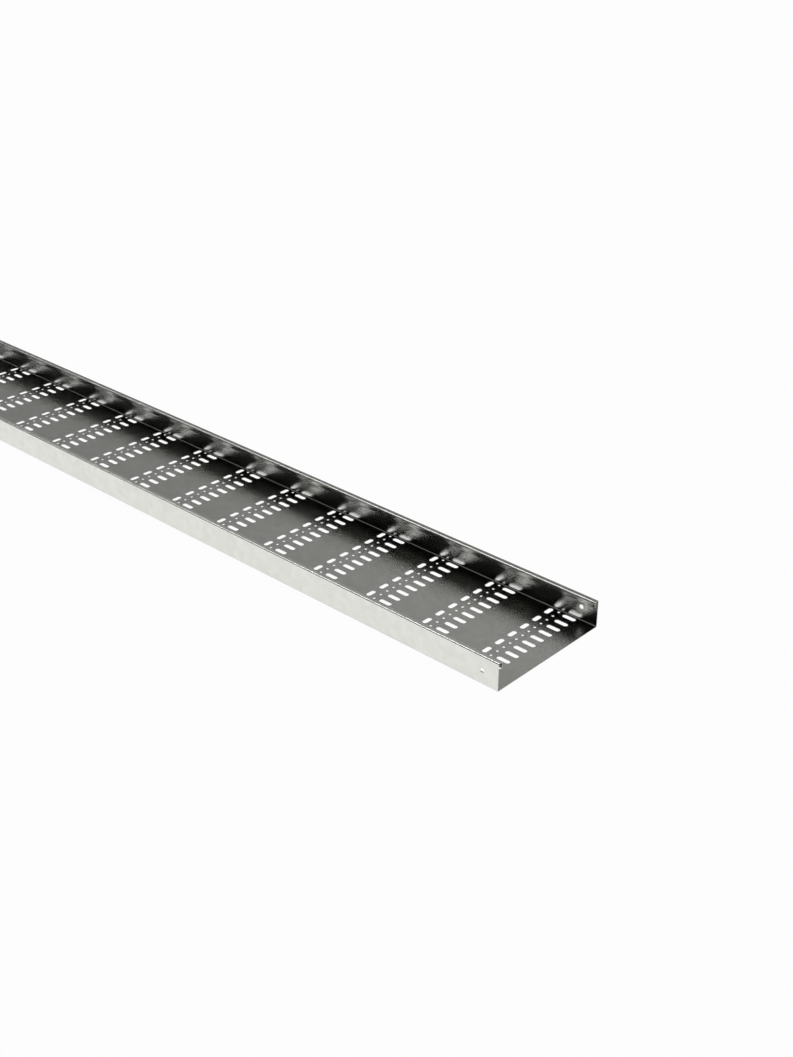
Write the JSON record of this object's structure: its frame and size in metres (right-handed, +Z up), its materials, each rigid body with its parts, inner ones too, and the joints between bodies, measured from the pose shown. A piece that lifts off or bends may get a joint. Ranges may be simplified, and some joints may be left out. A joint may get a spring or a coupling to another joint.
{
  "type": "perforated cable tray",
  "caption": "Straight length of perforated cable tray: thin steel sheet with a slotted floor, folded into a shallow channel with turned-in rims, that carries cables along a wall or ceiling.",
  "frame": {"origin": "on the underside of the floor, at the middle of the tray's length and width", "axes": "+X along the tray, towards the end whose first row of slots runs along the tray; +Y across the floor; +Z up, out of the open side"},
  "size_m": [3, 0.1986, 0.04],
  "materials": {
    "galvanised_sheet": "smooth galvanised steel sheet, satin, with bright sheared edges"
  },
  "bodies": {
    "root": {"cable_tray": "galvanised_sheet"}
  },
  "joints": []
}
